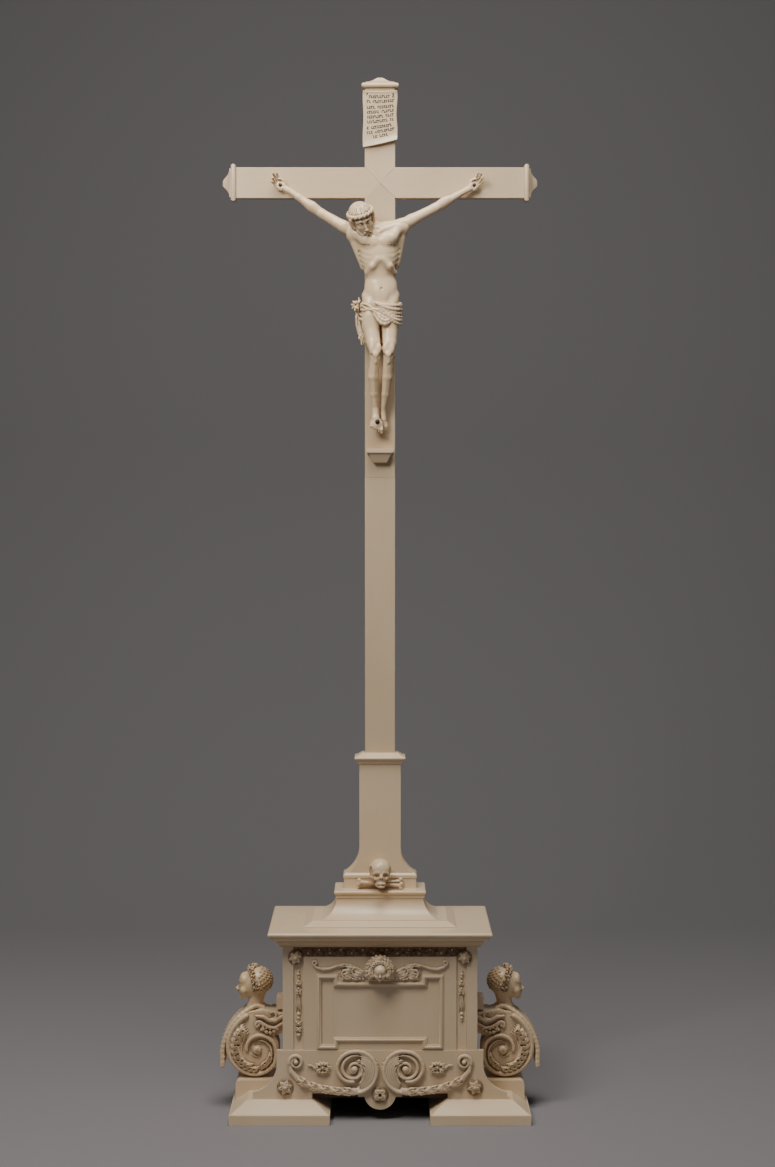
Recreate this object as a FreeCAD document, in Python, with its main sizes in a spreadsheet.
"""Altar cross of ivory plates on a wooden core: a tall Latin cross with a carved figure, lifting out of a
socket in a stepped pedestal, on a casket-shaped base with two splayed feet and two side consoles with busts.

Row frame: millimetres, +Z up, the front faces -Y. The origin is the middle of the base on the altar top.
"""

import FreeCAD, Part
import math
import os

import Sketcher

Vector = FreeCAD.Vector
doc = FreeCAD.newDocument("altar_cross")
sheet = doc.addObject("Spreadsheet::Sheet", "Sizes")

# ---------------------------------------------------------------- driving dimensions
DIMENSIONS = [
    # alias, value in mm, what it is
    ("foot_in", 48.6, "inner edge of a foot from the middle"),
    ("foot_out", 146.3, "outer edge of a foot from the middle"),
    ("foot_deep", 74.0, "half depth of a foot"),
    ("foot_slab_top", 10.0, "height of the foot slab"),
    ("splay_top", 21.0, "height of the splayed top of a foot"),
    ("splay_inset", 16.0, "how far the splay draws in"),
    ("reveal", 0.8, "shadow line between slab and splay"),
    ("plinth_in", 96.0, "inner end of a side plinth"),
    ("plinth_out", 143.0, "outer face of a side plinth"),
    ("plinth_deep", 24.0, "half depth of a side plinth"),
    ("plinth_top", 31.0, "top of a side plinth"),
    ("plinth_round", 5.0, "rounding of a side plinth"),
    ("body_half", 95.0, "half width of the casket body"),
    ("body_front", 54.0, "half depth of the casket body"),
    ("body_top", 169.5, "top of the casket body"),
    ("skin", 4.0, "thickness of an ivory plate on the casket"),
    ("thin_skin", 2.2, "thickness of a sunk ivory plate"),
    ("board", 8.0, "thickness of a carcass board"),
    ("apron_top", 68.5, "joint between apron and upper plates"),
    ("apron_half", 100.8, "half width of the apron's shoulder"),
    ("apron_proud", 1.0, "how far the apron stands before the body"),
    ("flank_top", 54.0, "height where the flank starts to sweep out"),
    ("flank_low", 28.0, "height where the sweep ends"),
    ("flank_half", 124.0, "half width at the foot of the apron"),
    ("flank_radius", 27.0, "radius of the sweep"),
    ("arch_half", 66.0, "half width of the opening under the apron"),
    ("arch_top", 26.4, "height of the opening under the apron"),
    ("lobe_radius", 15.5, "radius of the pendant lobe"),
    ("lobe_half", 15.2, "half width of the pendant lobe where it springs"),
    ("lobe_spring", 23.0, "height where the pendant lobe springs"),
    ("lobe_shoulder", 21.5, "half width of the shoulders above the lobe"),
    ("field_half", 74.6, "half width of the middle plate"),
    ("strip_in", 84.4, "inner edge of a corner strip"),
    ("frieze_low", 159.5, "lower edge of the frieze"),
    ("frame_half", 61.9, "half width of the eared frame, outside"),
    ("frame_low", 69.3, "lower edge of the frame's ears"),
    ("frame_high", 142.2, "upper edge of the frame's ears"),
    ("frame_notch", 41.0, "half width of the frame's set-back part"),
    ("frame_step", 7.2, "how far the middle is set back"),
    ("frame_wide", 4.6, "width of the frame moulding"),
    ("frame_proud", 2.4, "how far the frame stands proud"),
    ("field_sunk", 1.4, "how far the framed field is sunk"),
    ("bed_low_half", 98.0, "half width of the bed moulding, below"),
    ("bed_top_half", 102.0, "half width of the bed moulding, above"),
    ("bed_top", 177.3, "top of the bed moulding"),
    ("roof_half", 108.0, "half width of the cornice slab"),
    ("roof_deep", 70.5, "half depth of the cornice slab"),
    ("roof_top", 185.6, "top of the cornice slab"),
    ("roof_nose", 2.2, "radius of the cornice nosing"),
    ("step_half", 74.7, "half width of the pedestal's base moulding"),
    ("step_deep", 44.0, "half depth of the pedestal's base moulding"),
    ("step_top", 191.6, "top of the pedestal's base moulding"),
    ("step_inset", 8.0, "how far that moulding draws in"),
    ("dado_half", 57.0, "half width of the sweeping pedestal, below"),
    ("dado_deep", 36.0, "half depth of the sweeping pedestal, below"),
    ("dado_draw", 14.0, "how far the sweep draws in"),
    ("dado_radius", 21.0, "radius of the sweep of the pedestal"),
    ("dado_top", 211.0, "top of the sweep"),
    ("shelf_low", 214.4, "underside of the pedestal shelf"),
    ("shelf_top", 218.2, "top of the pedestal shelf"),
    ("shelf_half", 45.0, "half width of the pedestal shelf"),
    ("shelf_deep", 24.5, "half depth of the pedestal shelf"),
    ("cross_plane", 4.0, "how far the cross stands behind the middle"),
    ("block_half", 36.0, "half width of the block on the shelf"),
    ("block_deep", 13.0, "half depth of the block on the shelf"),
    ("block_top", 227.7, "top of that block"),
    ("bead_top", 233.2, "top of the bevelled plate on the block"),
    ("bead_half", 36.6, "half width of the bevelled plate"),
    ("bead_deep", 13.6, "half depth of the bevelled plate"),
    ("bead_bevel", 2.0, "bevel of that plate"),
    ("neck_half", 20.6, "half width of the neck"),
    ("neck_deep", 11.0, "half depth of the neck"),
    ("neck_skin", 3.0, "thickness of a neck plate"),
    ("neck_flare", 11.0, "how far the neck spreads at its foot"),
    ("neck_flare_high", 257.6, "height where the neck starts to spread"),
    ("neck_radius", 32.0, "radius of the neck's spread"),
    ("neck_side_extra", 3.0, "how far the side plates spread further"),
    ("neck_top", 340.8, "top of the neck"),
    ("cap_half", 25.2, "half width of the neck's cap"),
    ("cap_deep", 15.6, "half depth of the neck's cap"),
    ("cap_top", 352.5, "top of the neck's cap, where the shaft stands"),
    ("shaft_half", 15.0, "half width of the cross's arms"),
    ("shaft_deep", 6.0, "half thickness of the cross"),
    ("leaf", 2.0, "thickness of an ivory face plate on the cross"),
    ("edging", 1.2, "thickness of an ivory edge strip"),
    ("seam", 627.0, "height of the joint in the shaft's facing"),
    ("bar_low", 906.4, "underside of the crossbar"),
    ("bar_high", 937.1, "top of the crossbar"),
    ("bar_half", 144.3, "half length of the crossbar between its caps"),
    ("shaft_top", 1016.7, "top of the upright"),
    ("finial_roll", 4.6, "thickness of the roll on a finial"),
    ("finial_out", 2.8, "how far the roll stands out"),
    ("finial_step", 1.5, "height of the finial's fillet"),
    ("finial_tip", 4.8, "height of the finial's ogee"),
    ("arm_tip", 7.0, "length of the ogee on an arm's finial"),
    ("ogee_in", 0.8, "how far a finial's ogee starts inside the cross's outline"),
    ("ogee_out", 10.6, "how far a finial's ogee has drawn in near its tip"),
    ("ogee_bend", 14.0, "radius of a finial's ogee"),
    ("tenon_half", 10.0, "half width of the tenon"),
    ("tenon_deep", 3.0, "half thickness of the tenon"),
    ("tenon_long", 60.0, "length of the tenon"),
    ("tenon_gap", 0.2, "clearance round the tenon"),
    ("bracket_half", 13.4, "half width of the figure's foot bracket"),
    ("bracket_top", 655.8, "top of the foot bracket"),
    ("bracket_slab", 4.0, "thickness of the bracket's shelf"),
    ("bracket_low", 642.0, "underside of the foot bracket"),
    ("bracket_deep", 12.0, "how far the foot bracket stands out"),
    ("title_half", 17.4, "half width of the title scroll"),
    ("title_low", 957.0, "lower edge of the title scroll"),
    ("title_high", 1013.5, "upper edge of the title scroll"),
    ("title_thick", 1.6, "thickness of the title scroll"),
    ("title_rise", 7.0, "how much higher the scroll's right corner hangs"),
    ("pin_radius", 0.7, "radius of a small pin"),
    ("nail_radius", 1.7, "radius of a nail through the figure"),
    ("nail_head", 2.3, "radius of a nail's head"),
    ("nail_stand", 7.0, "how far a nail's head stands before the cross"),
    ("foot_nail_stand", 16.0, "how far the foot nail's head stands before the cross"),
    ("nail_long", 5.0, "how far a nail goes into the cross"),
    ("skull_radius", 11.0, "radius of the skull's cranium"),
    ("skull_out", 20.5, "how far the middle of the skull stands forward"),
    ("skull_high", 237.2, "height of the middle of the cranium"),
    ("bone_half", 20.5, "half length of a crossed bone"),
    ("bone_radius", 1.6, "radius of a crossed bone"),
    ("bone_knob", 2.4, "radius of a bone's knuckle"),
    ("bone_low", 220.8, "height of a bone's lower end"),
    ("bone_high", 226.8, "height of a bone's upper end"),
    ("console_in", 95.0, "where a console meets the body"),
    ("console_deep", 17.0, "half thickness of a console"),
    ("console_top", 96.5, "top of a console"),
    ("console_shoulder", 117.0, "where a console's shoulder ends"),
    ("console_out", 151.0, "outer face of a console"),
    ("console_mid", 50.0, "height of a console's widest point"),
    ("console_foot", 127.0, "where a console stands on its plinth"),
    ("console_back", 103.5, "inner side of a console's scroll"),
    ("console_throat", 72.0, "height where the scroll leaves the console's root"),
    ("console_bend", 52.0, "radius of a console's back"),
    ("console_curl", 24.0, "radius of a console's volute"),
    ("stole_out", 159.6, "outer face of the bust's stole"),
    ("stole_low", 41.0, "lower end of the stole"),
    ("stole_deep", 15.0, "half width of the stole"),
    ("stole_thick", 4.5, "thickness of the stole"),
    ("stole_bend", 56.0, "radius of the stole's outer face"),
    ("bust_x", 126.4, "middle of a bust's head, from the middle"),
    ("bust_z", 121.0, "height of the middle of a bust's head"),
    ("bust_head", 14.6, "radius of a bust's head"),
    ("bust_neck", 7.0, "radius of a bust's neck"),
    ("ledge_low", 98.2, "underside of the bracket beside a bust"),
    ("ledge_top", 110.0, "top of that bracket"),
    ("ledge_out", 103.0, "outer face of that bracket"),
    ("rosette_radius", 7.2, "radius of a rosette"),
    ("rosette_proud", 4.0, "how far a rosette stands proud"),
    ("upper_rosette_x", 82.6, "upper rosettes from the middle"),
    ("upper_rosette_z", 158.8, "height of the upper rosettes"),
    ("lower_rosette_x", 92.4, "lower rosettes from the middle"),
    ("lower_rosette_z", 32.8, "height of the lower rosettes"),
    ("pendant_rosette_z", 25.5, "height of the rosette on the pendant lobe"),
    ("drop_top", 147.0, "top of a pilaster's husk drop"),
    ("drop_low_left", 77.0, "lower end of the left husk drop"),
    ("drop_low_right", 96.0, "lower end of the right husk drop"),
    ("drop_half", 3.6, "half width of a husk drop"),
    ("drop_proud", 3.2, "how far a husk drop stands proud"),
    ("cherub_z", 150.5, "height of the middle of the cherub's head"),
    ("cherub_radius", 11.5, "radius of the cherub's head"),
    ("crest_half", 66.0, "half width of the crest behind the cherub"),
    ("crest_low", 136.6, "lower edge of the crest"),
    ("crest_high", 156.0, "upper edge of the crest"),
    ("crest_proud", 3.0, "how far the crest stands proud"),
    ("volute_x", 25.0, "middle of a big volute from the middle"),
    ("volute_z", 51.5, "height of the middle of a big volute"),
    ("volute_radius", 19.0, "radius of a big volute"),
    ("curl_x", 82.0, "middle of an end curl from the middle"),
    ("curl_z", 59.5, "height of the middle of an end curl"),
    ("curl_radius", 8.0, "radius of an end curl"),
    ("scroll_low", 25.6, "lowest point of the apron's scrolls"),
    ("scroll_proud", 5.0, "how far the apron's scrolls stand proud"),
    ("band_bend", 44.0, "radius of the band between a volute and its end curl"),
    ("flower_x", 56.5, "middle of an apron flower from the middle"),
    ("flower_z", 51.5, "height of an apron flower"),
    ("flower_half", 10.0, "half width of an apron flower"),
    ("flower_high", 7.5, "half height of an apron flower"),
    ("flower_proud", 3.0, "how far an apron flower stands proud"),
]

# the figure's joints: name, x, y, z and radius there
LANDMARKS = [
    ("crown", -23.5, -26.0, 890.5, 11.5),
    ("chin", -13.5, -28.5, 878.0, 8.0),
    ("nape", -4.0, -18.0, 869.0, 8.4),
    ("chest", -2.0, -19.0, 852.0, 20.5),
    ("waist", 1.5, -18.0, 820.0, 15.5),
    ("pelvis", 0.5, -16.5, 794.0, 17.5),
    ("left_hip", -8.5, -17.0, 790.0, 10.5),
    ("right_hip", 9.5, -17.0, 790.0, 10.5),
    ("left_knee", -5.0, -28.0, 746.0, 6.6),
    ("right_knee", 8.2, -28.0, 746.5, 6.4),
    ("left_calf", -8.2, -20.0, 722.0, 6.2),
    ("right_calf", 6.8, -19.5, 722.0, 6.0),
    ("left_ankle", -5.2, -11.5, 694.0, 3.7),
    ("right_ankle", 3.6, -11.0, 694.0, 3.7),
    ("left_toes", -2.6, -14.5, 674.5, 3.6),
    ("right_toes", -0.4, -9.0, 675.5, 3.4),
    ("left_shoulder", -23.0, -17.0, 867.0, 7.6),
    ("left_elbow", -58.5, -12.0, 889.0, 5.0),
    ("left_wrist", -90.5, -8.0, 913.0, 3.3),
    ("left_palm", -99.2, -6.5, 918.4, 4.0),
    ("left_fingers", -105.5, -6.5, 927.5, 2.6),
    ("right_shoulder", 17.5, -16.0, 874.5, 7.6),
    ("right_elbow", 55.0, -12.0, 895.0, 5.0),
    ("right_wrist", 84.0, -8.0, 912.5, 3.3),
    ("right_palm", 93.7, -6.5, 918.2, 4.0),
    ("right_fingers", 102.0, -6.5, 926.5, 2.6),
]
for name, *place_and_radius in LANDMARKS:
    for part_name, value in zip(("px", "py", "pz", "radius"), place_and_radius):
        DIMENSIONS.append((f"{name}_{part_name}", value, f"the figure's {name}, {part_name}"))

values = {}
for row, (alias, value, meaning) in enumerate(DIMENSIONS, start=1):
    sheet.set(f"A{row}", meaning)
    sheet.set(f"B{row}", str(value))
    sheet.setAlias(f"B{row}", alias)
    values[alias] = value
doc.recompute()


class Size:
    """A length together with the spreadsheet expression that it comes from."""

    def __init__(self, value, text=None):
        self.value = float(value)
        self.text = text if text is not None else f"({float(value)})"

    @staticmethod
    def of(other):
        return other if isinstance(other, Size) else Size(other)

    def _join(self, other, sign, value):
        return Size(value, f"({self.text} {sign} {Size.of(other).text})")

    def __add__(self, other):
        return self._join(other, "+", self.value + Size.of(other).value)

    def __sub__(self, other):
        return self._join(other, "-", self.value - Size.of(other).value)

    def __mul__(self, factor):
        return self._join(factor, "*", self.value * Size.of(factor).value)

    def __neg__(self):
        return Size(0) - self

    __radd__ = __add__
    __rmul__ = __mul__

    def __rsub__(self, other):
        return Size.of(other) - self


def size(alias):
    return Size(values[alias], f"Sizes.{alias}")


NODES = []


def keep(thing, label):
    """Marks a document object as a sub-part with this name."""
    thing.Label = label
    NODES.append(thing)
    return thing


def bind(thing, name, length):
    """Ties one property of a document object to the spreadsheet."""
    thing.setExpression(name, Size.of(length).text)


def place(thing, x=0, y=0, z=0):
    for axis, length in zip("xyz", (x, y, z)):
        bind(thing, f"Placement.Base.{axis}", length)
    return thing


# ---------------------------------------------------------------- shapes bound to the sheet
def box(name, low, high):
    """A box between two corners, each three lengths."""
    made = doc.addObject("Part::Box", name)
    for side, a, b in zip(("Length", "Width", "Height"), low, high):
        bind(made, side, Size.of(b) - a)
    return place(made, *low)


def frustum(name, x_low, x_high, deep, z_low, z_high, inset):
    """A block whose four sides lean in by inset from z_low to z_high."""
    made = doc.addObject("Part::Wedge", name)
    height = Size.of(z_high) - z_low
    wide = Size.of(x_high) - x_low
    corners = {
        "Xmin": Size(0), "Xmax": wide, "X2min": Size.of(inset), "X2max": wide - inset,
        "Zmin": Size(0), "Zmax": deep * 2, "Z2min": Size.of(inset), "Z2max": deep * 2 - inset,
        "Ymin": Size(0), "Ymax": height,
    }
    for corner, length in corners.items():
        bind(made, corner, length)
    made.Placement = FreeCAD.Placement(Vector(), FreeCAD.Rotation(Vector(1, 0, 0), 90))
    return place(made, x_low, deep, z_low)


class Outline:
    """A closed outline of lines and arcs, each point two lengths. A side of 1 bulges to the left."""

    def __init__(self, u, v):
        self.points = [(Size.of(u), Size.of(v))]
        self.legs = []
        self.last_leg = None

    def to(self, u, v):
        self.points.append((Size.of(u), Size.of(v)))
        self.legs.append(None)
        return self

    def arc_to(self, u, v, radius, side):
        self.points.append((Size.of(u), Size.of(v)))
        self.legs.append((Size.of(radius), side))
        return self

    def leg(self, u, v, radius, side):
        return self.to(u, v) if radius is None else self.arc_to(u, v, radius, side)

    def close_with_arc(self, radius, side):
        """Closes the outline with an arc in place of the straight last leg."""
        self.last_leg = (Size.of(radius), side)
        return self


def draw(sketch, outline):
    """Puts an outline into a sketch, with every point's place a named, bound constraint."""
    legs = outline.legs + [outline.last_leg]
    count = len(outline.points)
    ends = []
    for i, leg in enumerate(legs):
        start = Vector(*(s.value for s in outline.points[i]), 0)
        end = Vector(*(s.value for s in outline.points[(i + 1) % count]), 0)
        if leg is None:
            sketch.addGeometry(Part.LineSegment(start, end), False)
            ends.append((1, 2))
            continue
        radius, side = leg
        middle, chord = (start + end) * 0.5, end - start
        half = chord.Length / 2
        normal = Vector(-chord.y, chord.x, 0).normalize()
        rise = radius.value - math.sqrt(max(radius.value**2 - half**2, 0))
        crest = middle + normal * rise * side
        # an arc is always drawn anticlockwise, so one that bulges to the left is drawn from its end
        sketch.addGeometry(Part.Arc(end, crest, start) if side > 0 else Part.Arc(start, crest, end), False)
        ends.append((2, 1) if side > 0 else (1, 2))
    for i in range(count):
        j = (i + 1) % count
        sketch.addConstraint(Sketcher.Constraint("Coincident", i, ends[i][1], j, ends[j][0]))
    for i, (u, v) in enumerate(outline.points):
        for kind, length in (("DistanceX", u), ("DistanceY", v)):
            made = sketch.addConstraint(
                Sketcher.Constraint(kind, -1, 1, i, ends[i][0], length.value)
            )
            name = f"{kind[-1].lower()}{i}"
            sketch.renameConstraint(made, name)
            bind(sketch, f"Constraints.{name}", length)
    for i, leg in enumerate(legs):
        if leg is not None:
            made = sketch.addConstraint(Sketcher.Constraint("Radius", i, leg[0].value))
            sketch.renameConstraint(made, f"bend{i}")
            bind(sketch, f"Constraints.bend{i}", leg[0])


def plate(name, plane, outline, start, thick):
    """A body: an outline on an origin plane, padded by thick and set at start along the plane's normal.

    XZ pads towards -Y from y = start, YZ pads towards +X from x = start, XY pads up from z = start.
    """
    body = doc.addObject("PartDesign::Body", name)
    sketch = body.newObject("Sketcher::SketchObject", name + "_outline")
    support = [f for f in body.Origin.OriginFeatures if f.Role == plane + "_Plane"][0]
    sketch.AttachmentSupport = [(support, "")]
    sketch.MapMode = "FlatFace"
    draw(sketch, outline)
    pad = body.newObject("PartDesign::Pad", name + "_pad")
    pad.Profile = sketch
    bind(pad, "Length", thick)
    move = {"XZ": (0, start, 0), "YZ": (start, 0, 0), "XY": (0, 0, start)}[plane]
    return place(body, *move)


def cut(name, base, tool):
    made = doc.addObject("Part::Cut", name)
    made.Base, made.Tool = base, tool
    return made


def fuse(name, parts):
    made = doc.addObject("Part::MultiFuse", name)
    made.Shapes = parts
    return made


def group(name, parts):
    """Several like pieces in one node, each its own solid."""
    made = doc.addObject("Part::Compound", name)
    made.Links = parts
    return made


def mirror(name, source):
    """The same piece on the other side of the middle."""
    made = doc.addObject("Part::Mirroring", name)
    made.Source = source
    made.Base, made.Normal = Vector(0, 0, 0), Vector(1, 0, 0)
    return made


def ring_block(name, steps, half, deep, middle=0, squeeze=1):
    """A moulded block on a rectangular plan, mitred at its corners.

    steps run upwards as (height, draw-in, radius or None, side): the outline goes to each in turn.
    squeeze is how much of the draw-in the block has front to back.
    """
    pads = []
    for plane, reach, across, share in (("XZ", half, deep, 1), ("YZ", deep, half, squeeze)):
        outline = Outline(reach - steps[0][1] * share, steps[0][0])
        for z, inward, radius, side in steps[1:]:
            outline.leg(reach - inward * share, z, radius, side)
        outline.to(steps[-1][1] * share - reach, steps[-1][0])
        for above, below in zip(steps[:0:-1], steps[-2::-1]):
            outline.leg(below[1] * share - reach, below[0], above[2], above[3])
        start = across + 1 if plane == "XZ" else -across - 1
        pads.append(plate(f"{name}_{plane.lower()}", plane, outline, start, across * 2 + 2))
    made = doc.addObject("Part::Common", name)
    made.Base, made.Tool = pads
    return place(made, 0, middle, 0)


def solid(name, shape):
    """A sculpted piece whose shape is worked out in code."""
    made = doc.addObject("Part::Feature", name)
    made.Shape = shape
    return made


# ---------------------------------------------------------------- the feet
FOOT_IN, FOOT_OUT, FOOT_DEEP = size("foot_in"), size("foot_out"), size("foot_deep")
SLAB_TOP, SPLAY_TOP = size("foot_slab_top"), size("splay_top")
reveal = size("reveal")

right_slab = box("right_slab", (FOOT_IN, -FOOT_DEEP, 0), (FOOT_OUT, FOOT_DEEP, SLAB_TOP))
left_slab = mirror("left_slab", right_slab)
keep(left_slab, "foot_slab_left")
keep(right_slab, "foot_slab_right")

right_splay = frustum(
    "right_splay", FOOT_IN + reveal, FOOT_OUT - reveal, FOOT_DEEP - reveal, SLAB_TOP, SPLAY_TOP,
    size("splay_inset"),
)
left_splay = mirror("left_splay", right_splay)
keep(left_splay, "foot_splay_left")
keep(right_splay, "foot_splay_right")

# a side plinth stands on the splay, so its underside follows the slope
plinth_out, plinth_top, rounding = size("plinth_out"), size("plinth_top"), size("plinth_round")
splay_edge = FOOT_OUT - reveal - size("splay_inset")
splay_fall = (values["splay_top"] - values["foot_slab_top"]) / values["splay_inset"]
plinth_line = Outline(size("plinth_in"), SPLAY_TOP)
plinth_line.to(splay_edge, SPLAY_TOP)
plinth_line.to(plinth_out, SPLAY_TOP - (plinth_out - splay_edge) * splay_fall)
plinth_line.to(plinth_out, plinth_top - rounding)
plinth_line.arc_to(plinth_out - rounding, plinth_top, rounding, -1)
plinth_line.to(size("plinth_in"), plinth_top)
right_plinth = plate("right_plinth", "XZ", plinth_line, size("plinth_deep"), size("plinth_deep") * 2)
left_plinth = mirror("left_plinth", right_plinth)
keep(group("plinths", [left_plinth, right_plinth]), "side_plinths")

# ---------------------------------------------------------------- the casket
HALF, FRONT, BODY_TOP = size("body_half"), size("body_front"), size("body_top")
SKIN, BOARD = size("skin"), size("board")
inner_half, inner_front = HALF - SKIN, FRONT - SKIN
APRON_TOP = size("apron_top")

board_half, board_front, lid_low = inner_half - BOARD, inner_front - BOARD, BODY_TOP - BOARD
boards = [
    box("front_board", (-inner_half, -inner_front, SPLAY_TOP), (inner_half, -board_front, lid_low)),
    box("back_board", (-inner_half, board_front, SPLAY_TOP), (inner_half, inner_front, lid_low)),
    box("left_board", (-inner_half, -board_front, SPLAY_TOP), (-board_half, board_front, lid_low)),
    box("right_board", (board_half, -board_front, SPLAY_TOP), (inner_half, board_front, lid_low)),
    box("floor_board", (-board_half, -board_front, SPLAY_TOP), (board_half, board_front, SPLAY_TOP + BOARD)),
    box("top_board", (-inner_half, -inner_front, lid_low), (inner_half, inner_front, BODY_TOP)),
]
keep(group("carcass", boards), "carcass_boards")


def eared(half, low, high, notch, step):
    """The outline of the framed field: a rectangle whose middle is set back above and below."""
    line = Outline(-half, low)
    line.to(-notch, low).to(-notch, low + step).to(notch, low + step).to(notch, low).to(half, low)
    line.to(half, high).to(notch, high).to(notch, high - step).to(-notch, high - step)
    return line.to(-notch, high).to(-half, high)


def eared_inside(wide):
    """The same outline drawn in by a moulding's width."""
    return eared(
        size("frame_half") - wide, size("frame_low") + wide, size("frame_high") - wide,
        size("frame_notch") + wide, size("frame_step"),
    )


field_half, strip_in, frieze_low = size("field_half"), size("strip_in"), size("frieze_low")
frame_wide = size("frame_wide")
field_slab = box("field_slab", (-field_half, -FRONT, APRON_TOP), (field_half, -inner_front, frieze_low))
field_gap = plate("field_gap", "XZ", eared_inside(frame_wide * 0.5), 1 - inner_front, SKIN + 2)
keep(cut("middle", field_slab, field_gap), "middle_plate")
field = plate("field", "XZ", eared_inside(frame_wide * 0.5), -inner_front, SKIN - size("field_sunk"))
keep(field, "framed_field")

frame_outer = plate(
    "frame_outer", "XZ",
    eared(size("frame_half"), size("frame_low"), size("frame_high"), size("frame_notch"), size("frame_step")),
    -FRONT, size("frame_proud"),
)
frame_inner = plate("frame_inner", "XZ", eared_inside(frame_wide), 1 - FRONT, size("frame_proud") + 2)
keep(cut("frame", frame_outer, frame_inner), "eared_frame")

keep(box("frieze", (-strip_in, -FRONT, frieze_low), (strip_in, -inner_front, BODY_TOP)), "frieze_band")
sunk_level = inner_front + size("thin_skin")
sunk_panels = [
    box("sunk_left", (-strip_in, -sunk_level, APRON_TOP), (-field_half, -inner_front, frieze_low)),
    box("sunk_right", (field_half, -sunk_level, APRON_TOP), (strip_in, -inner_front, frieze_low)),
]
keep(group("sunk", sunk_panels), "pilaster_panels")
strips = [
    box("strip_left", (-HALF, -FRONT, APRON_TOP), (-strip_in, -inner_front, BODY_TOP)),
    box("strip_right", (strip_in, -FRONT, APRON_TOP), (HALF, -inner_front, BODY_TOP)),
]
keep(group("strips", strips), "corner_strips")
sides = [
    box("side_left", (-HALF, -inner_front, SPLAY_TOP), (-inner_half, inner_front, BODY_TOP)),
    box("side_right", (inner_half, -inner_front, SPLAY_TOP), (HALF, inner_front, BODY_TOP)),
]
keep(group("sides", sides), "side_plates")
keep(box("back", (-HALF, inner_front, SPLAY_TOP), (HALF, FRONT, BODY_TOP)), "back_plate")
sill_gap = size("reveal")
keep(
    box("sill", (sill_gap - FOOT_IN, inner_front - BOARD, 2), (FOOT_IN - sill_gap, inner_front, SPLAY_TOP)),
    "back_sill",
)

# the apron plate, with its swept flanks, the shallow opening and the pendant lobe
flank_top, flank_low, flank_half = size("flank_top"), size("flank_low"), size("flank_half")
apron_half, arch_half, arch_top = size("apron_half"), size("arch_half"), size("arch_top")
lobe_half, lobe_spring, shoulder = size("lobe_half"), size("lobe_spring"), size("lobe_shoulder")
apron_line = Outline(-apron_half, APRON_TOP)
apron_line.to(apron_half, APRON_TOP).to(apron_half, flank_top)
apron_line.arc_to(flank_half, flank_low, size("flank_radius"), -1)
apron_line.to(flank_half, SPLAY_TOP).to(arch_half, SPLAY_TOP).to(arch_half, arch_top)
apron_line.to(shoulder, arch_top).to(shoulder, lobe_spring).to(lobe_half, lobe_spring)
apron_line.arc_to(-lobe_half, lobe_spring, size("lobe_radius"), 1)
apron_line.to(-shoulder, lobe_spring).to(-shoulder, arch_top).to(-arch_half, arch_top)
apron_line.to(-arch_half, SPLAY_TOP).to(-flank_half, SPLAY_TOP).to(-flank_half, flank_low)
apron_line.arc_to(-apron_half, flank_top, size("flank_radius"), -1)
apron_proud = size("apron_proud")
keep(plate("apron", "XZ", apron_line, -inner_front, SKIN + apron_proud), "apron_plate")

# ---------------------------------------------------------------- the cornice
bed_top, roof_top = size("bed_top"), size("roof_top")
bed_half, bed_draw = size("bed_top_half"), size("bed_top_half") - size("bed_low_half")
bed_deep = bed_half - HALF + FRONT
bed_fillet = 1.6
keep(
    ring_block(
        "bed",
        [
            (BODY_TOP, bed_draw, None, 0), (BODY_TOP + bed_fillet, bed_draw, None, 0),
            (bed_top - bed_fillet, Size(0.8), 6.0, -1), (bed_top, Size(0.8), None, 0),
        ],
        bed_half, bed_deep,
    ),
    "bed_moulding",
)
nose = size("roof_nose")
keep(
    ring_block(
        "roof",
        [
            (bed_top, Size(4.0), None, 0), (roof_top - nose * 2 - 0.6, Size(1.6), 4.6, -1),
            (roof_top - nose * 2, Size(1.6), None, 0), (roof_top - nose * 2, Size(0.6), None, 0),
            (roof_top, Size(0.6), nose * 1.05, -1),
        ],
        size("roof_half"), size("roof_deep"),
    ),
    "cornice_slab",
)

# ---------------------------------------------------------------- the stepped pedestal
step_top = size("step_top")
keep(
    ring_block(
        "step",
        [
            (roof_top, Size(0), None, 0), (roof_top + 1.0, Size(0), None, 0),
            (step_top - 0.8, size("step_inset"), None, 0), (step_top, size("step_inset"), None, 0),
        ],
        size("step_half"), size("step_deep"),
    ),
    "pedestal_moulding",
)
shelf_low, shelf_top, dado_top = size("shelf_low"), size("shelf_top"), size("dado_top")
dado_draw = size("dado_draw")
keep(
    ring_block(
        "dado",
        [
            (step_top, Size(0), None, 0), (dado_top, dado_draw, size("dado_radius"), 1),
            (dado_top, dado_draw - 1.0, None, 0), (shelf_low, dado_draw - 1.0, None, 0),
        ],
        size("dado_half"), size("dado_deep"),
    ),
    "pedestal_sweep",
)
keep(
    ring_block(
        "shelf",
        [(shelf_low, Size(0.8), None, 0), (shelf_top, Size(0.8), 2.1, -1)],
        size("shelf_half"), size("shelf_deep"),
    ),
    "pedestal_shelf",
)
CROSS_Y, block_half, block_deep = size("cross_plane"), size("block_half"), size("block_deep")
block_top, bead_top = size("block_top"), size("bead_top")
keep(
    box(
        "block", (-block_half, CROSS_Y - block_deep, shelf_top), (block_half, CROSS_Y + block_deep, block_top)
    ),
    "pedestal_block",
)
keep(
    ring_block(
        "bead",
        [
            (block_top, Size(0.6), None, 0), (block_top + 0.6, Size(0), None, 0),
            (bead_top - size("bead_bevel"), Size(0), None, 0), (bead_top, size("bead_bevel"), None, 0),
        ],
        size("bead_half"), size("bead_deep"), CROSS_Y,
    ),
    "pedestal_bead",
)

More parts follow.
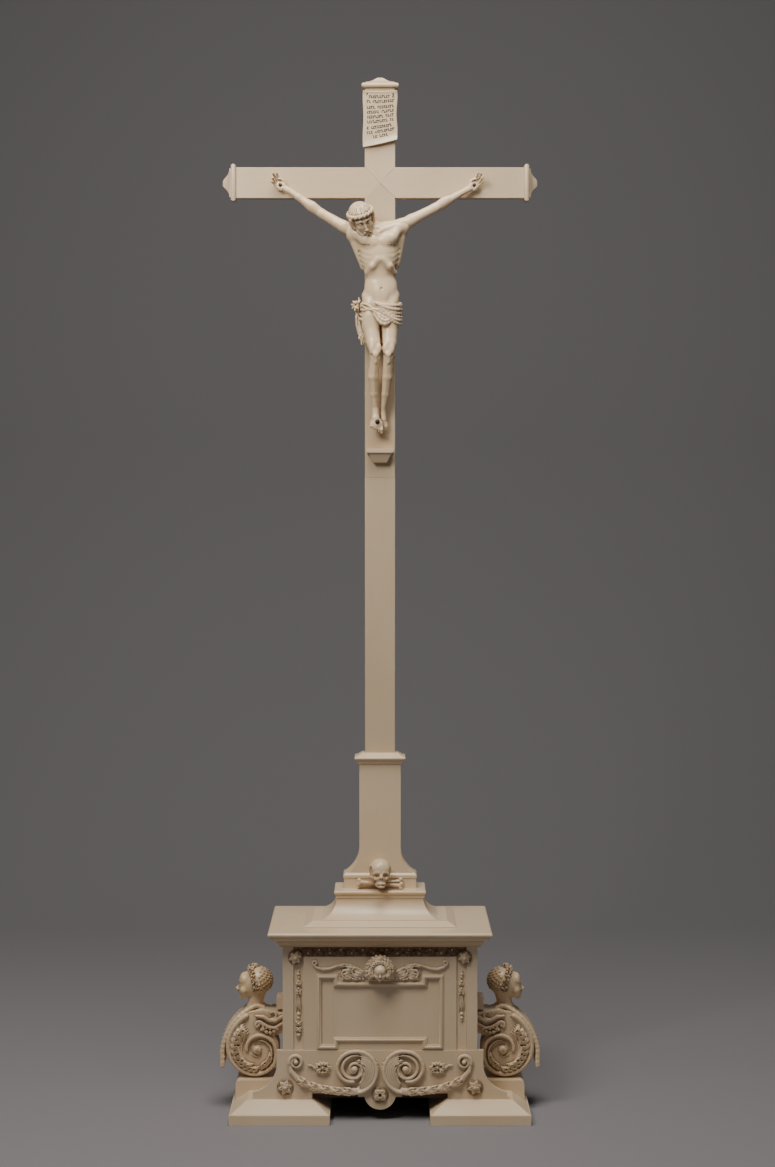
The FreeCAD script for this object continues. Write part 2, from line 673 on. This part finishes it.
# ---------------------------------------------------------------- the neck with its socket
neck_half, neck_deep, neck_skin = size("neck_half"), size("neck_deep"), size("neck_skin")
flare, flare_high, neck_top = size("neck_flare"), size("neck_flare_high"), size("neck_top")
tenon_half, tenon_deep, gap = size("tenon_half"), size("tenon_deep"), size("tenon_gap")
core_half, core_deep = neck_half - neck_skin, neck_deep - neck_skin


def flared(half, spread):
    """The outline of a neck plate, straight above and spreading at its foot."""
    line = Outline(-half - spread, bead_top).to(half + spread, bead_top)
    line.arc_to(half, flare_high, size("neck_radius"), 1).to(half, neck_top).to(-half, neck_top)
    return line.to(-half, flare_high).close_with_arc(size("neck_radius"), 1)


neck_faces = [
    plate("neck_front", "XZ", flared(neck_half, flare), CROSS_Y - core_deep, neck_skin),
    plate("neck_back", "XZ", flared(neck_half, flare), CROSS_Y + neck_deep, neck_skin),
]
keep(group("neck_faces", neck_faces), "neck_faces")
side_line = Outline(core_half, bead_top).to(neck_half + flare + size("neck_side_extra"), bead_top)
side_line.arc_to(neck_half, flare_high, size("neck_radius"), 1).to(neck_half, neck_top)
side_line.to(core_half, neck_top)
neck_side = plate("neck_side", "XZ", side_line, CROSS_Y + core_deep, core_deep * 2)
keep(group("neck_sides", [neck_side, mirror("neck_other_side", neck_side)]), "neck_sides")
socket_block = box(
    "socket_block", (-core_half, CROSS_Y - core_deep, bead_top), (core_half, CROSS_Y + core_deep, neck_top)
)
cap_top = size("cap_top")
socket_floor = cap_top - size("tenon_long") - 3
socket_hole = box(
    "socket_hole",
    (-tenon_half - gap, CROSS_Y - tenon_deep - gap, socket_floor),
    (tenon_half + gap, CROSS_Y + tenon_deep + gap, cap_top + 1),
)
keep(cut("socket", socket_block, socket_hole), "socket_core")
cap_draw = size("cap_half") - neck_half
cap_solid = ring_block(
    "cap",
    [
        (neck_top, cap_draw + 0.4, None, 0), (neck_top + 4.6, Size(2.0), 6.0, -1),
        (neck_top + 5.2, Size(0.6), None, 0), (neck_top + 8.0, Size(0.6), 1.7, -1),
        (neck_top + 8.0, Size(2.0), None, 0), (cap_top, cap_draw + 3.0, None, 0),
    ],
    size("cap_half"), size("cap_deep"), CROSS_Y,
)
cap_hole = box(
    "cap_hole",
    (-tenon_half - gap, CROSS_Y - tenon_deep - gap, neck_top - 1),
    (tenon_half + gap, CROSS_Y + tenon_deep + gap, cap_top + 1),
)
keep(cut("neck_cap", cap_solid, cap_hole), "neck_cap")

# ---------------------------------------------------------------- the cross
SHAFT, DEEP, LEAF, EDGING = size("shaft_half"), size("shaft_deep"), size("leaf"), size("edging")
bar_low, bar_high = size("bar_low"), size("bar_high")
bar_half, shaft_top = size("bar_half"), size("shaft_top")
bar_mid = (bar_low + bar_high) * 0.5
core_side, core_front, core_back = SHAFT - EDGING, CROSS_Y - DEEP + LEAF, CROSS_Y + DEEP - LEAF
seam = size("seam")

upright_bar = box("upright_bar", (-core_side, core_front, cap_top), (core_side, core_back, shaft_top))
tenon = box(
    "tenon", (-tenon_half, CROSS_Y - tenon_deep, cap_top - size("tenon_long")),
    (tenon_half, CROSS_Y + tenon_deep, cap_top),
)
half_lap = box("half_lap", (-SHAFT, core_front - 1, bar_low + EDGING), (SHAFT, CROSS_Y, bar_high - EDGING))
keep(cut("upright", fuse("upright_tenon", [upright_bar, tenon]), half_lap), "upright_core")
cross_bar = box(
    "cross_bar", (-bar_half, core_front, bar_low + EDGING), (bar_half, core_back, bar_high - EDGING)
)
other_lap = box("other_lap", (-core_side, CROSS_Y, bar_low), (core_side, core_back + 1, bar_high))
keep(cut("crossbar", cross_bar, other_lap), "crossbar_core")


def facing(name, outline, front=True):
    """An ivory plate on the front or the back of the cross."""
    return plate(name, "XZ", outline, core_front if front else CROSS_Y + DEEP, LEAF)


def rectangle(x_low, x_high, z_low, z_high):
    return Outline(x_low, z_low).to(x_high, z_low).to(x_high, z_high).to(x_low, z_high)


def pointed_up():
    return Outline(-SHAFT, seam).to(SHAFT, seam).to(SHAFT, bar_low).to(0, bar_mid).to(-SHAFT, bar_low)


def pointed_down():
    line = Outline(0, bar_mid).to(SHAFT, bar_high).to(SHAFT, shaft_top)
    return line.to(-SHAFT, shaft_top).to(-SHAFT, bar_high)


def arm(side):
    line = Outline(0, bar_mid).to(SHAFT * side, bar_low).to(bar_half * side, bar_low)
    return line.to(bar_half * side, bar_high).to(SHAFT * side, bar_high)


keep(facing("face_low", rectangle(-SHAFT, SHAFT, cap_top, seam)), "shaft_face_lower")
keep(facing("face_high", pointed_up()), "shaft_face_upper")
keep(facing("face_head", pointed_down()), "head_face")
keep(group("face_arms", [facing("face_left", arm(-1)), facing("face_right", arm(1))]), "arm_faces")
backs = [
    facing("back_low", rectangle(-SHAFT, SHAFT, cap_top, seam), False),
    facing("back_high", pointed_up(), False),
    facing("back_head", pointed_down(), False),
    facing("back_left", arm(-1), False),
    facing("back_right", arm(1), False),
]
keep(group("backs", backs), "back_faces")
edges = []
for side in (-1, 1):
    inner, outer = sorted((core_side * side, SHAFT * side), key=lambda length: length.value)
    end = sorted((SHAFT * side, bar_half * side), key=lambda length: length.value)
    for low, high in ((cap_top, bar_low), (bar_high, shaft_top)):
        edges.append(box(f"edge_{len(edges)}", (inner, core_front, low), (outer, core_back, high)))
    for low, high in ((bar_low, bar_low + EDGING), (bar_high - EDGING, bar_high)):
        edges.append(box(f"edge_{len(edges)}", (end[0], core_front, low), (end[1], core_back, high)))
keep(group("edges", edges), "edge_strips")


def finial(name, tip):
    """The end cap of an arm of the cross, pointing up from z = 0: a roll, a fillet and a low ogee."""
    roll, out, step, ogee_out = size("finial_roll"), size("finial_out"), size("finial_step"), size("ogee_out")
    base = ring_block(
        name + "_roll",
        [
            (Size(0), Size(0.6), None, 0), (roll, Size(0.6), 2.9, -1), (roll, out + 0.6, None, 0),
            (roll + step, out + 0.6, None, 0),
        ],
        SHAFT + out, DEEP + out,
    )
    ogee = ring_block(
        name + "_ogee",
        [
            (roll + step, size("ogee_in"), None, 0), (roll + step + tip * 0.8, ogee_out, size("ogee_bend"), 1),
            (roll + step + tip, ogee_out + 1.9, None, 0),
        ],
        SHAFT, DEEP, squeeze=0.45,
    )
    return fuse(name, [base, ogee])


top_finial = finial("top_finial", size("finial_tip"))
keep(place(top_finial, 0, CROSS_Y, shaft_top), "top_cap")
arm_finials = []
for name, side in (("left_finial", -1), ("right_finial", 1)):
    made = finial(name, size("arm_tip"))
    made.Placement = FreeCAD.Placement(Vector(), FreeCAD.Rotation(Vector(0, 1, 0), 90 * side))
    arm_finials.append(place(made, bar_half * side, CROSS_Y, bar_mid))
keep(group("arm_finials", arm_finials), "arm_caps")

face_y = CROSS_Y - DEEP
title_half, title_low, title_high = size("title_half"), size("title_low"), size("title_high")
title_line = Outline(-title_half, title_low).to(title_half, title_low + size("title_rise"))
title_line.to(title_half, title_high).to(-title_half, title_high)
keep(plate("title", "XZ", title_line, face_y, size("title_thick")), "title_scroll")

shelf = size("bracket_top") - size("bracket_slab")
bracket_half, bracket_deep = size("bracket_half"), size("bracket_deep")
bracket_shelf = box(
    "bracket_shelf",
    (-bracket_half, face_y - bracket_deep, shelf),
    (bracket_half, face_y, size("bracket_top")),
)
corbel_front = Outline(-bracket_half + 1.5, shelf).to(bracket_half * -0.5, size("bracket_low"))
corbel_front.to(bracket_half * 0.5, size("bracket_low")).to(bracket_half - 1.5, shelf)
corbel_side = Outline(face_y, size("bracket_low")).to(face_y, shelf).to(face_y - bracket_deep + 1.5, shelf)
corbel_side.to(face_y - bracket_deep * 0.45, size("bracket_low"))
corbel = doc.addObject("Part::Common", "corbel")
corbel.Base = plate("corbel_front", "XZ", corbel_front, face_y, bracket_deep)
corbel.Tool = plate("corbel_side", "YZ", corbel_side, -bracket_half, bracket_half * 2)
keep(fuse("bracket", [bracket_shelf, corbel]), "foot_bracket")

# ---------------------------------------------------------------- carved pieces
def val(alias):
    return values[alias]


CROSS_FACE = val("cross_plane") - val("shaft_deep")
BODY_FACE = -val("body_front")


def landmark(name):
    """A joint of the figure: its place and the flesh's radius there."""
    return Vector(val(name + "_px"), val(name + "_py"), val(name + "_pz")), val(name + "_radius")


def limb(*names):
    """Tapering flesh through the named joints."""
    shapes = []
    for name in names:
        centre, radius = landmark(name)
        shapes.append(Part.makeSphere(radius, centre))
    for first, second in zip(names, names[1:]):
        a, ra = landmark(first)
        b, rb = landmark(second)
        shapes.append(Part.makeCone(ra, rb, (b - a).Length, a, b - a))
    return shapes


def trunk():
    """The figure's trunk, lofted through oval sections from the hips to the shoulders."""
    sections = []
    for name, flat in (("pelvis", 0.72), ("waist", 0.75), ("chest", 0.72)):
        centre, radius = landmark(name)
        ring = Part.Ellipse(Vector(), radius, radius * flat).toShape()
        ring.translate(centre)
        sections.append(Part.Wire([ring]))
    shoulders = Part.Ellipse(Vector(), 15.0, 8.5).toShape()
    shoulders.translate(Vector(landmark("nape")[0].x + 1, landmark("chest")[0].y, landmark("nape")[0].z + 2))
    sections.append(Part.Wire([shoulders]))
    return Part.makeLoft(sections, True)


def before_cross(shape):
    """Only what stands before the cross's face."""
    slab = Part.makeBox(400, 200, 1100, Vector(-200, CROSS_FACE - 200, 0))
    return shape.common(slab)


flesh = [trunk()] + limb("crown", "chin") + limb("chin", "nape")
for side in ("left", "right"):
    flesh += limb(f"{side}_hip", f"{side}_knee", f"{side}_calf", f"{side}_ankle", f"{side}_toes")
body_shape = before_cross(flesh[0].multiFuse(flesh[1:]))

nail_places = {
    "left_palm": val("nail_stand"), "right_palm": val("nail_stand"), "left_toes": val("foot_nail_stand"),
}


def nail(name, stand):
    """A round nail with a domed head, driven into the cross."""
    where, _ = landmark(name)
    rise = 8.0 if name == "left_toes" else 0.0
    root = Vector(where.x, CROSS_FACE + val("nail_long"), where.z + rise)
    shank = Part.makeCylinder(val("nail_radius"), stand + val("nail_long"), root, Vector(0, -1, 0))
    head = Part.makeCone(
        val("nail_head"), val("nail_radius"), 1.2, Vector(where.x, CROSS_FACE - stand, where.z + rise),
        Vector(0, -1, 0),
    )
    return shank.fuse(head)


nails = [nail(name, stand) for name, stand in nail_places.items()]
keep(solid("nail_set", Part.makeCompound(nails)), "nails")
arms = {}
for side in ("left", "right"):
    pieces = limb(*[f"{side}_{joint}" for joint in ("shoulder", "elbow", "wrist", "palm", "fingers")])
    arms[side] = before_cross(pieces[0].multiFuse(pieces[1:])).cut(body_shape)
keep(solid("figure", body_shape), "corpus_body")
keep(solid("left_arm", max(arms["left"].Solids, key=lambda s: s.Volume)), "corpus_arm_left")
keep(solid("right_arm", max(arms["right"].Solids, key=lambda s: s.Volume)), "corpus_arm_right")

pins = [
    Part.makeCylinder(
        val("pin_radius"), 3.4,
        Vector(x, CROSS_FACE + 1.2, val("title_high") - 3.0), Vector(0, -1, 0),
    )
    for x in (-13.0, 13.0)
]
keep(solid("title_pin_set", Part.makeCompound(pins)), "title_pins")

# the skull and the crossed bones on the pedestal's shelf
skull_at = Vector(0, -val("skull_out"), val("skull_high"))
cranium = Part.makeSphere(val("skull_radius"), skull_at)
jaw = Part.makeBox(12, 12, 16, Vector(-6, -val("skull_out") - 9.5, val("shelf_top")))


def bone(lean, y):
    """A crossed bone with a knuckle at each end."""
    a = Vector(-val("bone_half"), y, val("bone_low") if lean > 0 else val("bone_high"))
    b = Vector(val("bone_half"), y, val("bone_high") if lean > 0 else val("bone_low"))
    rod = Part.makeCylinder(val("bone_radius"), (b - a).Length, a, b - a)
    return rod.multiFuse([Part.makeSphere(val("bone_knob"), end) for end in (a, b)])


block_face = val("cross_plane") - val("block_deep")
bones = [bone(1, block_face - 2.6), bone(-1, block_face - 7.6)]
bone_space = bones[1].fuse(bones[0])
keep(solid("skull_shape", cranium.fuse(jaw).cut(bone_space)), "skull")
keep(solid("bone_pair", Part.makeCompound(bones)), "crossbones")


# the consoles, the stoles over them and the busts
console_line = Outline(size("console_in"), size("console_top"))
console_line.to(size("console_shoulder"), size("console_top") + 1.5)
console_line.arc_to(size("console_out"), size("console_mid"), size("console_bend"), 1)
console_line.arc_to(size("console_foot") + 4.0, size("plinth_top"), size("console_curl"), 1)
console_line.to(size("console_foot") - 4.0, size("plinth_top"))
console_line.arc_to(size("console_back"), size("console_mid") + 4.0, size("console_curl"), 1)
console_line.to(size("console_back"), size("console_throat"))
console_line.to(size("console_in"), size("console_throat") + 6.0)
right_console = plate("right_console", "XZ", console_line, size("console_deep"), size("console_deep") * 2)
keep(mirror("left_console", right_console), "console_left")
keep(right_console, "console_right")

console_top, stole_out, stole_low = size("console_top"), size("stole_out"), size("stole_low")
stole_root, stole_thick = size("console_shoulder"), size("stole_thick")
stole_line = Outline(stole_root + 1.0, console_top + 3.0).to(stole_root + 9.0, console_top + 7.0)
stole_line.arc_to(stole_out, stole_low + 16.0, size("stole_bend"), 1).to(stole_out, stole_low)
stole_line.to(stole_out - stole_thick, stole_low).to(stole_out - stole_thick, stole_low + 16.0)
stole_line.close_with_arc(size("stole_bend") - 2.0, -1)
right_stole = plate("right_stole", "XZ", stole_line, size("stole_deep"), size("stole_deep") * 2)
keep(mirror("left_stole", right_stole), "stole_left")
keep(right_stole, "stole_right")

ledges = [
    box("ledge_right", (HALF, -size("console_deep") * 0.7, size("ledge_low")),
        (size("ledge_out"), size("console_deep") * 0.7, size("ledge_top"))),
]
ledges.append(mirror("ledge_left", ledges[0]))
keep(group("ledges", ledges), "console_ledges")
doc.recompute()

head_at = Vector(val("bust_x"), 0, val("bust_z"))
neck_at = Vector(val("bust_x") - 2.0, 0, val("console_top") - 4.0)
bust = Part.makeSphere(val("bust_head"), head_at).multiFuse([
    Part.makeCylinder(val("bust_neck"), val("bust_z") - neck_at.z, neck_at),
    Part.makeSphere(val("bust_head") * 0.5, head_at + Vector(-1.0, 0, val("bust_head") * 0.85)),
])
bust = bust.cut(right_stole.Shape).cut(right_console.Shape)
right_bust = solid("right_bust", max(bust.Solids, key=lambda piece: piece.Volume))
keep(mirror("left_bust", right_bust), "bust_left")
keep(right_bust, "bust_right")


# ---------------------------------------------------------------- the applied ornament of the front
def rosette(x, z, face, radius):
    """A round boss that draws in towards its front."""
    return Part.makeCone(
        radius, radius * 0.6, val("rosette_proud"), Vector(x, face, z), Vector(0, -1, 0)
    )


APRON_FACE = BODY_FACE - val("apron_proud")
upper_pair = [
    rosette(x, val("upper_rosette_z"), BODY_FACE, val("rosette_radius"))
    for x in (-val("upper_rosette_x"), val("upper_rosette_x"))
]
keep(solid("upper_pair", Part.makeCompound(upper_pair)), "upper_rosettes")
lower_three = [
    rosette(x, z, APRON_FACE, val("rosette_radius") + 1.0)
    for x, z in (
        (-val("lower_rosette_x"), val("lower_rosette_z")),
        (0, val("pendant_rosette_z")),
        (val("lower_rosette_x"), val("lower_rosette_z")),
    )
]
keep(solid("lower_three", Part.makeCompound(lower_three)), "lower_rosettes")

drop_middle, drop_half = (field_half + strip_in) * 0.5, size("drop_half")
drops = [
    box(f"drop_{name}", (drop_middle * side - drop_half, -sunk_level - size("drop_proud"), size(low)),
        (drop_middle * side + drop_half, -sunk_level, size("drop_top")))
    for name, side, low in (("left", -1, "drop_low_left"), ("right", 1, "drop_low_right"))
]
keep(group("drops", drops), "pilaster_drops")

crest_half, crest_low, crest_high = size("crest_half"), size("crest_low"), size("crest_high")
ear = size("frame_high") + 1.5
crest_inner = size("frame_notch") - 2.0
crest_line = Outline(-crest_inner, crest_low).to(crest_inner, crest_low).to(crest_inner, ear)
crest_line.to(crest_half, ear + 4.0).to(crest_half, crest_high).to(crest_inner, crest_high - 5.0)
crest_line.to(-crest_inner, crest_high - 5.0).to(-crest_half, crest_high).to(-crest_half, ear + 4.0)
crest_line.to(-crest_inner, ear)
keep(plate("crest", "XZ", crest_line, -FRONT, size("crest_proud")), "crest_scrolls")
crest_face = BODY_FACE - val("crest_proud")
cherub = Part.makeSphere(val("cherub_radius"), Vector(0, crest_face - 3.0, val("cherub_z")))
cherub = cherub.common(Part.makeBox(60, 60, 60, Vector(-30, crest_face - 60, val("cherub_z") - 30)))
keep(solid("cherub", cherub), "cherub_head")

volute_x, volute_z, volute_radius = size("volute_x"), size("volute_z"), size("volute_radius")
scroll_low, scroll_proud = size("scroll_low"), size("scroll_proud")
curl_x, curl_z, curl_radius = size("curl_x"), size("curl_z"), size("curl_radius")


def disc(name, x, z, radius, thick, face):
    """A round boss standing forward from the apron."""
    made = doc.addObject("Part::Cylinder", name)
    bind(made, "Radius", radius)
    bind(made, "Height", thick)
    made.Placement = FreeCAD.Placement(Vector(), FreeCAD.Rotation(Vector(1, 0, 0), 90))
    return place(made, x, face, z)


apron_level = -FRONT - apron_proud
band_line = Outline(curl_x + curl_radius - 1.2, curl_z - 0.6)
volute_foot, band_bend = volute_z - volute_radius, size("band_bend")
band_line.arc_to(volute_x + 30.0, scroll_low + 3.0, band_bend, 1).to(volute_x - 2.0, volute_foot + 1.0)
band_line.to(volute_x + 6.0, volute_foot + 8.0).to(volute_x + 28.0, scroll_low + 11.0)
band_line.arc_to(curl_x - 1.0, curl_z - 6.0, band_bend - 4.0, -1)
right_scroll = fuse(
    "right_scroll",
    [
        disc("big_volute", volute_x, volute_z, volute_radius, scroll_proud, apron_level),
        disc("end_curl", curl_x, curl_z, curl_radius, scroll_proud, apron_level),
        plate("scroll_band", "XZ", band_line, apron_level, scroll_proud * 0.8),
    ],
)
scrolls = [right_scroll, mirror("left_scroll", right_scroll)]
keep(group("scrolls", scrolls), "apron_scrolls")
flower_x, flower_z = size("flower_x"), size("flower_z")
flower_half, flower_high = size("flower_half"), size("flower_high")
flowers = [
    box("right_flower", (flower_x - flower_half, apron_level - size("flower_proud"), flower_z - flower_high),
        (flower_x + flower_half, apron_level, flower_z + flower_high)),
]
flowers.append(mirror("left_flower", flowers[0]))
keep(group("flowers", flowers), "apron_flowers")

# ---------------------------------------------------------------- check and write
doc.recompute()
for thing in doc.Objects:
    if {"Invalid", "Error"} & set(thing.State):
        raise RuntimeError(f"{thing.Name} ({thing.Label}) did not recompute: {thing.State}")
for thing in NODES:
    if thing.Shape.isNull() or not thing.Shape.isValid() or not thing.Shape.Solids:
        raise RuntimeError(f"{thing.Label} has no valid solid")
os.makedirs("parts", exist_ok=True)
for thing in NODES:
    thing.Shape.exportStep(os.path.join("parts", thing.Label + ".step"))
print(len(NODES), "sub-parts written")
